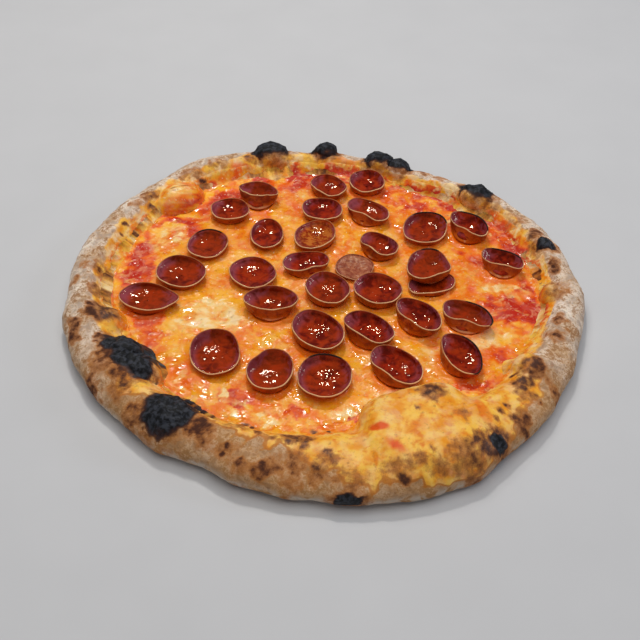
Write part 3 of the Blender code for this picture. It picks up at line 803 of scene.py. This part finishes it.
def make_cheese(material):
    """The melted cheese with the sauce in it: a square grid laid on the dish and some way up the rim.
    Up there it is a film along the dough's normals, which thins out and meets the level cheese in a
    smooth maximum. The relief is added along the normals of both, and a flat skin closes it beneath."""
    angles, distance = disc_grid(CHEESE_STEPS)
    dish = np.clip(distance / DISH_SHARE, 0.0, 1.0)
    climb = np.clip((distance - DISH_SHARE) / (1.0 - DISH_SHARE), 0.0, 1.0)
    foot = dough_skin(angles, np.zeros_like(angles))
    level = foot * np.stack((dish, dish, np.zeros_like(dish)), axis=-1)
    stations = climb * cheese_reach(angles, foot).reshape(climb.shape)
    skin = dough_skin(angles, stations)
    climbs = climb.ravel()
    station = stations.ravel()
    climbing = climbs > 0.0
    flat = np.where(climbing[:, None], skin.reshape(-1, 3), level.reshape(-1, 3))
    brown = brown_amount(flat)
    char = char_amount(flat)
    gold = gold_amount(flat, angles.ravel(), station)
    thinning = 1.1 * (1.0 - climbs) - 1.8 * smoothstep(climbs, 0.75, 1.0)
    depth = (dough_relief(flat, station, gold, char) + thinning)[:, None] * MM
    lift = depth * skin_normals(angles, stations).reshape(-1, 3)
    film = flat + np.where(climbing[:, None], lift, 0.0)
    top = cheese_level(flat)
    joined = 0.5 * (top + film[:, 2] + np.hypot(top - film[:, 2], 0.6 * MM))
    base = np.column_stack((film[:, :2], np.where(climbing, joined, top)))
    normals = grid_normals(base.reshape(skin.shape), wrap=False).reshape(-1, 3)
    normals *= np.where(normals[:, 2:] < 0.0, -1.0, 1.0)
    streaked = warped(warped(flat, 14.0 * MM, 7.0 * MM, 111), 5.0 * MM, 2.5 * MM, 114)
    streaks = layered(streaked * np.array((1.0, 1.6, 1.0)), 6.5 * MM, 117)
    foot_gap = foot_distance(flat)
    relief = cheese_relief(flat, streaks, climbs, foot_gap)
    points = base + normals * (relief * MM)[:, None]
    points[:, 2] = keep_under(points[:, 2], TOP_LIMIT)
    creams = patches(flat, CREAMS, 0.35, 5.0 * MM, 151)
    veins = layered(streaked, 8.0 * MM, 171)
    attributes = {
        "red": red_amount(flat, climbs),
        "cream": np.clip(0.95 * creams * (0.8 + 0.7 * veins) + smoothstep(veins, 0.22, 0.6) * 0.5, 0.0, 1.0),
        "streak": 0.5 + 0.5 * np.clip(streaks, -1.0, 1.0),
        "climb": climbs,
        "brown": brown * smoothstep(climbs, 0.1, 0.5),
        "char": char * smoothstep(climbs, 0.4, 0.8),
        # near_slice: close to a slice's foot, where the fat lies and a shadow of the cup is painted
        "near_slice": np.exp(-np.maximum(foot_gap, 0.0) / (3.8 * MM)),
        "bake": front_amount(flat),
    }
    border, beneath, skirt, fan = cheese_underside(flat)
    for label, values in attributes.items():
        attributes[label] = np.concatenate((values, values[border], values[:1]))
    quads = np.concatenate((grid_faces(CHEESE_STEPS + 1, CHEESE_STEPS + 1, wrap=False), skirt))
    every_point = np.concatenate((points, beneath))
    node = "cheese_and_sauce"
    make_piece("melted_cheese", every_point, quads, fan, attributes, material, node)


def slice_ring(place, angles, level, inset, height):
    """One ring of a slice: level runs from 0 at the round foot to 1 at the lip's oval."""
    foot_half = 0.25 * FOOT_SHARE * (place.length + place.width) * MM
    along = (foot_half + level * (0.5 * place.length * MM - foot_half) - inset) * np.cos(angles)
    across = (foot_half + level * (0.5 * place.width * MM - foot_half) - inset) * np.sin(angles)
    x, y = turned(along, across, place.turn)
    centre_y = (place.y - place.forward * (1 - level)) * MM
    return np.stack((place.x * MM + x, centre_y + y, height * np.ones_like(angles)), axis=1)


def spline_weights(knots, steps):
    """Weights of a Catmull-Rom curve through a row of knots, with this many steps between each two:
    a matrix that turns the knots into the points of the curve."""
    share = np.linspace(0.0, 1.0, steps, endpoint=False)
    basis = 0.5 * np.stack((
        -share + 2 * share ** 2 - share ** 3,
        2 - 5 * share ** 2 + 3 * share ** 3,
        share + 4 * share ** 2 - 3 * share ** 3,
        -share ** 2 + share ** 3,
    ), axis=1)
    weights = np.zeros(((knots - 1) * steps + 1, knots))
    for start in range(knots - 1):
        for shift in range(4):
            knot = min(max(start + shift - 1, 0), knots - 1)
            weights[start * steps:(start + 1) * steps, knot] += basis[:, shift]
    weights[-1, -1] = 1.0
    return weights


def make_slice(number, place, material):
    """A pepperoni slice that curled into a cup: rings from the middle of its floor up the inside, over
    the thin lip, down the outside to the foot and back beneath, smoothed by a curve through them.
    The lip is pulled in at its dents and waves a little, and the skin has shallow pits."""
    angles = np.arange(SLICE_STEPS) * (FULL_TURN / SLICE_STEPS)
    rest = SLICE_REST + (STACKED_RISE if number == STACKED_SLICE else 0.0)
    direction = angles + math.radians(place.turn)
    backward = 0.5 + 0.5 * np.sin(direction)
    ripple = LIP_RIPPLE * np.sin(3 * angles + number)
    circle = np.stack((np.cos(direction), np.sin(direction), np.full(SLICE_STEPS, number * 3.7)), axis=1)
    wave = 0.7 * noise(circle, 0.9, 200) + 0.3 * noise(circle, 0.35, 201)
    wall = (place.front_wall + (place.back_wall - place.front_wall) * backward + ripple + 0.7 * wave) * MM
    mean_half = 0.25 * (place.length + place.width) * MM
    foot_half = FOOT_SHARE * mean_half
    rounding = FOOT_ROUNDING * mean_half
    knots = []
    for knot in CUP:
        inset = knot.inset * MM + knot.share * foot_half + (rounding if knot.rounded else 0.0)
        height = rest + knot.above * MM + knot.rise * (wall - knot.less * MM)
        knots.append(slice_ring(place, angles, knot.level, inset, height))
    bend = 0.55 * wave
    for dent in DENTS:
        if dent.number == number:
            bend = bend + dent.depth * np.exp(-((turn_from(dent.direction, direction) / dent.spread) ** 2))
    black = np.zeros(SLICE_STEPS)
    for burnt in BURNT_LIPS:
        if burnt.number == number:
            away = np.abs(turn_from(burnt.direction, direction))
            black = np.maximum(black, smoothstep(-away, -burnt.spread, -0.6 * burnt.spread))
    columns = np.array([(knot.level ** 0.8, knot.depth, knot.inside, knot.crisp) for knot in CUP])
    inward = -circle * np.array((1.0, 1.0, 0.0))
    knots = np.array(knots) + columns[:, :1, None] * (bend * MM)[:, None] * inward
    weights = spline_weights(len(knots), CUP_STEPS)
    grid = np.einsum("rk,ksc->rsc", weights, knots)
    depth, inside, crisp = (weights @ columns[:, 1:]).T
    flat = grid.reshape(-1, 3)
    pits = 0.26 * layered(flat, 5.0 * MM, 210, layers=2)
    pits = pits.reshape(grid.shape[:2]) * (1.0 - crisp)[:, None]
    grid = grid - grid_normals(grid, wrap=True) * (pits * MM)[..., None]
    points = np.concatenate((grid.reshape(-1, 3), grid[:1].mean(axis=1), grid[-1:].mean(axis=1)))
    attributes = with_ends({
        "depth": np.repeat(depth, SLICE_STEPS),
        "inside": np.repeat(inside, SLICE_STEPS),
        "crisp": np.repeat(crisp, SLICE_STEPS),
        "burnt": np.outer(np.clip(crisp + 0.35 * (1.0 - depth), 0.0, 1.0), black).ravel(),
        "front": np.tile(0.5 - 0.5 * np.sin(direction), len(grid)),
        # side: where on a cup the purple sheen, a painted reflection, is painted
        "side": np.tile(np.cos(direction - math.radians(PAINTED_SHEEN_SIDE)), len(grid)),
        "tone": np.full(len(flat), (number * 0.618) % 1.0),
        "dull": np.full(len(flat), float(number == DULL_SLICE)),
        # oil: the cup with painted golden glints on its oil
        "oil": np.full(len(flat), float(number == GLINTING_OIL_SLICE)),
    })
    quads = grid_faces(len(grid), SLICE_STEPS, wrap=True)
    triangles = closing_fans(len(flat), SLICE_STEPS)
    node = f"pepperoni_{number:02d}"
    make_piece(f"cup_{number:02d}", points, quads, triangles, attributes, material, node)


class Signal:
    """The output of a shader node. An expression on signals and numbers adds the Math nodes it needs."""

    def __init__(self, finish, socket):
        self.finish = finish
        self.socket = socket

    def maths(self, operation, first, second):
        return self.finish.node("Math", {"operation": operation}, {0: first, 1: second})

    def __add__(self, other):
        return self.maths("ADD", self, other)

    def __mul__(self, other):
        return self.maths("MULTIPLY", self, other)

    def __sub__(self, other):
        return self.maths("SUBTRACT", self, other)

    def __rsub__(self, other):
        return self.maths("SUBTRACT", other, self)

    __radd__ = __add__
    __rmul__ = __mul__

    def between(self, low, high):
        """0 at low, 1 at high, with a smooth rise between."""
        return self.finish.node(
            "MapRange", {"interpolation_type": "SMOOTHSTEP"},
            {"Value": self, "From Min": low, "From Max": high},
        )

    def under(self, colour, share):
        """This colour with another one laid over it, by a share from 0 to 1."""
        return self.finish.mix(self, colour, share)


class Finish:
    """A material with a Principled shader, and the one way of adding other nodes to it."""

    def __init__(self, name, **constants):
        self.material = bpy.data.materials.new(name)
        self.material.use_nodes = True
        self.tree = self.material.node_tree
        self.shader = self.tree.nodes["Principled BSDF"]
        for label, value in constants.items():
            self.shader.inputs[label.replace("_", " ")].default_value = value
        self.place = self.node("TexCoord", {}, {}, "Object")

    def node(self, kind, settings, inputs, output=0):
        """Add a node of this kind, set its settings, then its inputs by name or number, from signals or
        plain values, and return one of its outputs."""
        made = self.tree.nodes.new("ShaderNode" + kind)
        for label, value in settings.items():
            setattr(made, label, value)
        for label, value in inputs.items():
            if isinstance(value, Signal):
                self.tree.links.new(value.socket, made.inputs[label])
            else:
                made.inputs[label].default_value = value
        return Signal(self, made.outputs[output])

    def numbers(self, labels):
        """Numbers that the mesh carries at each point, one for each word."""
        return [self.node("Attribute", {"attribute_name": label}, {}, "Fac") for label in labels.split()]

    def noise(self, size, detail=3.0, distortion=0.0):
        """Noise of about this feature size, in metres, from 0 to 1."""
        return self.node("TexNoise", {}, {
            "Vector": self.place, "Scale": 1.0 / size, "Detail": detail,
            "Roughness": 0.55, "Distortion": distortion,
        })

    def mix(self, first, second, share):
        """From the first colour to the second by a share from 0 to 1. A colour is a name or a signal."""
        first, second = (
            colour if isinstance(colour, Signal) else (*COLOURS[colour], 1.0) for colour in (first, second)
        )
        return self.node("Mix", {"data_type": "RGBA"}, {0: share, 6: first, 7: second}, 2)

    def bump(self, height, depth, strength):
        """A normal from a height from 0 to 1, this deep in metres."""
        return self.node("Bump", {}, {"Height": height, "Distance": depth, "Strength": strength})

    def feed(self, **signals):
        """Link signals to the shader's sockets."""
        for label, signal in signals.items():
            self.tree.links.new(signal.socket, self.shader.inputs[label.replace("_", " ")])
        return self.material


def golden_tones(finish):
    """The colour of cheesy dough: deep gold, yellow and cream in soft patches, with less cream in front."""
    [bake] = finish.numbers("bake")
    golden = finish.mix("deep gold", "yellow gold", finish.noise(8 * MM, 2.0, 0.3).between(0.34, 0.64))
    golden = golden.under("amber", finish.noise(5 * MM, 3.0, 0.3).between(0.50, 0.72) * 0.80)
    cream = finish.noise(9 * MM, 3.0, 0.3).between(0.42, 0.66) * (0.90 - 0.62 * bake)
    return golden.under("cream", cream)


def scorched(finish, colour, brown, char):
    """A colour with brown patches, dark spots and black chars laid over it."""
    mottle = finish.noise(2.4 * MM, 3.0, 0.3) - 0.5
    grain = finish.noise(0.8 * MM, 2.0) - 0.5
    for tone, wander, start, end, strength in BROWNING:
        browned = (brown + wander * mottle + 0.3 * grain).between(start, end)
        colour = colour.under(tone, browned * strength)
    ragged = char + 0.5 * mottle * (1.0 - char)
    colour = colour.under("char edge", ragged.between(0.02, 0.25) * 0.8)
    colour = colour.under("soot", ragged.between(0.15, 0.45))
    black = finish.mix("char", "grey char", finish.noise(2.4 * MM, 3.0, 0.4).between(0.40, 0.64))
    return colour.under(black, ragged.between(0.35, 0.8))


def baked_dough():
    """Pale floured dough outside, golden cheesy dough inside, browned in patches and charred black."""
    finish = Finish(
        "baked dough", Subsurface_Weight=0.10, Subsurface_Scale=3.0 * MM, Subsurface_Radius=(1.0, 0.6, 0.3),
        Specular_IOR_Level=0.3,
    )
    char, brown, gold, bake, station, splash = finish.numbers("char brown gold bake station splash")
    mottle = finish.noise(3.0 * MM, 3.0, 0.2)
    patch = finish.noise(7 * MM, 2.0, 0.3)
    broad = finish.noise(14 * MM, 2.0, 0.3)
    grain = finish.noise(0.9 * MM, 2.0)
    uneven = grain - 0.5
    light = (0.6 * mottle + 0.4 * patch + 0.35 * uneven).between(0.40, 0.60)
    # Towards the front (bake): less flour, more toast and a darker tan, a painted shade of the side turned
    # from the key light
    flour = (0.6 * broad + 0.4 * mottle + 0.30 * uneven - 0.05 * bake).between(0.38, 0.64)
    toast = (0.6 * patch + 0.4 * mottle + 0.25 * uneven).between(0.48, 0.62)
    tan = finish.mix("dark tan", "light tan", light)
    tan = tan.under("flour", flour * (0.95 - 0.55 * bake))
    tan = tan.under("toast", toast * (0.55 + 0.20 * bake))
    tan = tan.under("front shade tan", bake * 0.40)
    tan = tan.under("dusty", station.between(1.80, 2.15) * patch.between(0.40, 0.60) * 0.7)
    dough = tan.under(golden_tones(finish), gold)
    # A deep orange band along the golden edge in front: the fold's crisp edge, and a painted shadow under
    # its overhang
    fold_edge_shade = (gold * (1.0 - gold) * 4.0 + 0.8 * (patch - 0.5)).between(0.30, 0.95) * bake
    dough = dough.under("fold_edge_shade", fold_edge_shade * 0.75)
    dough = dough.under("splash", splash)
    dough = scorched(finish, dough, brown, char)
    beneath = finish.mix("base", "base spots", broad.between(0.50, 0.64))
    dough = dough.under(beneath, station.between(2.9, 3.1))
    roughness = 0.85 - 0.38 * gold * (1.0 - char) - 0.25 * char
    height = (0.55 * mottle + 0.35 * grain) * (1.0 - 0.45 * gold)
    return finish.feed(Base_Color=dough, Roughness=roughness, Normal=finish.bump(height, 0.6 * MM, 0.8))


def melted_cheese():
    """Oily melt: orange-yellow where the fat ran, red where the sauce shows, cream where it is bare, and
    golden and browned where it climbs the dough."""
    finish = Finish(
        "oily cheese", Subsurface_Weight=0.10, Subsurface_Scale=3.0 * MM, Subsurface_Radius=(1.0, 0.5, 0.2),
        Specular_IOR_Level=0.5,
    )
    red, cream, streak, climb = finish.numbers("red cream streak climb")
    near_slice, brown, char = finish.numbers("near_slice brown char")
    fine = finish.noise(2.6 * MM, 3.0, 0.3) - 0.5
    swirl = finish.noise(8 * MM, 2.0, 0.4) - 0.5
    broad = finish.noise(20 * MM, 2.0, 0.3) - 0.5
    melt = (0.6 * broad + 0.5 * swirl + 0.15 * (streak - 0.5) + 0.15 * fine).between(-0.13, 0.12)
    # A pale milky film in soft patches: partly the cheese's own colour, partly a painted reflection of light
    # on the wet melt
    film = (finish.noise(6.0 * MM, 3.0, 0.4) + 0.25 * (streak - 0.5) + 0.2 * fine).between(0.46, 0.72)
    pale = (cream + 0.5 * fine + 0.8 * swirl).between(0.10, 0.95)
    palest = (cream + 1.1 * swirl + 0.7 * fine).between(0.45, 1.25)
    pink = (finish.noise(5.0 * MM, 3.0, 0.6) + 0.10 * (red - 0.5) + 0.3 * fine).between(0.55, 0.74)
    crumbs = (finish.noise(1.6 * MM, 2.0) + 0.3 * fine).between(0.64, 0.74)
    colour = finish.mix("orange fat", "yellow fat", melt)
    colour = colour.under("milky sheen", film * 0.50)
    colour = colour.under("sauce", (red + 0.45 * fine + 0.7 * swirl).between(0.10, 0.80))
    colour = colour.under("deep sauce", (red + 0.5 * fine + 0.8 * swirl).between(0.70, 1.20))
    colour = colour.under("bare", pale)
    colour = colour.under("barest", pale * palest * 0.85)
    colour = colour.under("pink", pink * 0.40)
    # Deep orange round each slice's foot: fat from the slice, and a painted shadow of the cup on the cheese
    colour = colour.under("slice fat and shadow", near_slice * (0.78 + 1.2 * swirl))
    colour = colour.under("crumbs", crumbs * 0.5)
    colour = colour.under(golden_tones(finish), (climb + 1.0 * fine + 1.6 * swirl).between(0.55, 1.00))
    colour = scorched(finish, colour, brown, char)
    wet = finish.noise(9 * MM, 2.0).between(0.46, 0.62) * (1.0 - climb.between(0.4, 0.9))
    ripple = 0.32 * finish.noise(3.0 * MM, 0.0) + 0.3 * swirl + 0.10 * fine
    rippled = finish.bump(ripple, 0.9 * MM, 0.9)
    return finish.feed(Base_Color=colour, Roughness=0.50 - 0.40 * wet, Normal=rippled)


def crisped_pepperoni():
    """Glossy dark red cup with fat in it and a painted purple sheen, a painted reflection, on its inner
    walls, orange-red outside, and a thin tan crisped lip.
    """
    finish = Finish("crisped pepperoni", Specular_IOR_Level=0.42, Specular_Tint=(1.0, 0.86, 0.62, 1.0))
    depth, inside, crisp, burnt, front = finish.numbers("depth inside crisp burnt front")
    side, tone, dull, oil = finish.numbers("side tone dull oil")
    marbling = finish.noise(3.4 * MM, 3.0, 0.8)
    blotch = finish.noise(6.0 * MM, 3.0, 0.6)
    grain = finish.noise(1.1 * MM, 3.0)
    high = depth.between(0.95, 0.55)
    # A purple sheen painted high on the inner walls, near and far: painted reflections of cool light
    near_painted_sheen = high * (side + 2.4 * (blotch - 0.5)).between(0.25, 0.95) * 0.80
    far_painted_sheen = high * (-1.0 * side + 3.0 * (marbling - 0.5)).between(0.55, 1.1) * 0.65
    # A painted patch of golden glints, a painted highlight, on the oil in one cup's floor
    painted_oil_glints = oil * (blotch + 0.8 * (grain - 0.5)).between(0.44, 0.66) * depth * 0.6
    bowl = finish.mix("bowl shade", "bowl", (0.6 * blotch + 0.4 * marbling).between(0.38, 0.64))
    bowl = bowl.under("bowl fat", (blotch - 0.3 + 0.35 * tone).between(0.18, 0.50) * 0.40)
    bowl = bowl.under("painted purple sheen", near_painted_sheen)
    bowl = bowl.under("far painted purple sheen", far_painted_sheen)
    bowl = bowl.under("golden oil glints", painted_oil_glints)
    # A painted highlight: a thin light line along the outside of the wall, near its foot
    painted_foot_highlight = depth.between(0.70, 0.84) * (1.0 - depth.between(0.88, 0.98))
    wall = finish.mix("wall", "wall shade", blotch.between(0.42, 0.62))
    # Painted reflection: the outside wall is painted more orange towards its foot, for the cheese reflected
    # in it
    wall = wall.under("wall foot cheese reflection", depth.between(0.40, 1.0) * 0.75)
    wall = wall.under("painted foot highlight", painted_foot_highlight * (blotch + 0.2 * tone).between(0.50, 0.62) * 0.8)
    colour = wall.under(bowl, inside)
    colour = colour.under(finish.mix("matt", "light matt", marbling.between(0.40, 0.62)), dull * 0.8)
    lip = finish.mix("lip", "front lip", (0.75 * front + 0.7 * (marbling - 0.5)).between(0.15, 0.70))
    edge = (crisp + 0.30 * (grain - 0.5) + 0.40 * (blotch - 0.5)).between(0.62, 0.95)
    colour = colour.under(lip, edge * (1.0 - 0.5 * dull))
    colour = colour.under("burnt lip", burnt.between(0.30, 0.75))
    roughness = 0.06 + 0.22 * (1.0 - inside) + 0.30 * crisp + 0.3 * dull
    ripple = 0.9 * finish.noise(2.0 * MM, 0.0) + 0.1 * finish.noise(1.1 * MM, 0.0)
    return finish.feed(Base_Color=colour, Roughness=roughness, Normal=finish.bump(ripple, 0.35 * MM, 0.9))


def make_light(light):
    """A rectangular soft light at its place, turned to the middle of the pizza."""
    data = bpy.data.lights.new(light.name, "AREA")
    data.shape = "RECTANGLE"
    data.size = light.width
    data.size_y = light.height
    data.energy = light.power
    data.color = light.colour
    lamp = bpy.data.objects.new(light.name, data)
    bpy.context.scene.collection.objects.link(lamp)
    lamp.location = light.place
    lamp.visible_glossy = light.glare
    lamp.rotation_euler = (-Vector(light.place)).to_track_quat("-Z", "Y").to_euler()


def make_studio():
    """A pale floor, soft studio light, and the camera."""
    scene = bpy.context.scene
    scene.view_settings.view_transform = "Standard"
    world = bpy.data.worlds.new("studio")
    world.use_nodes = True
    background = world.node_tree.nodes["Background"]
    background.inputs["Color"].default_value = DAYLIGHT
    background.inputs["Strength"].default_value = DAYLIGHT_STRENGTH
    scene.world = world
    bpy.ops.mesh.primitive_plane_add(size=FLOOR_SIZE)
    floor = bpy.context.object
    floor.name = "floor"
    paint = Finish("floor paint", Roughness=0.7)
    shade = paint.mix("floor", "light floor", paint.noise(50.0 * MM, 2.0))
    floor.data.materials.append(paint.feed(Base_Color=shade))
    for light in LIGHTS:
        make_light(light)
    camera_data = bpy.data.cameras.new("camera")
    camera_data.lens = LENS
    camera_data.sensor_width = SENSOR
    camera = bpy.data.objects.new("camera", camera_data)
    scene.collection.objects.link(camera)
    camera.location = CAMERA_PLACE
    camera.rotation_euler = [math.radians(turn) for turn in CAMERA_TURN]
    scene.camera = camera


make_studio()
make_crust(baked_dough())
make_cheese(melted_cheese())
pepperoni_finish = crisped_pepperoni()
for slice_number, slice_place in enumerate(SLICES, start=1):
    make_slice(slice_number, slice_place, pepperoni_finish)
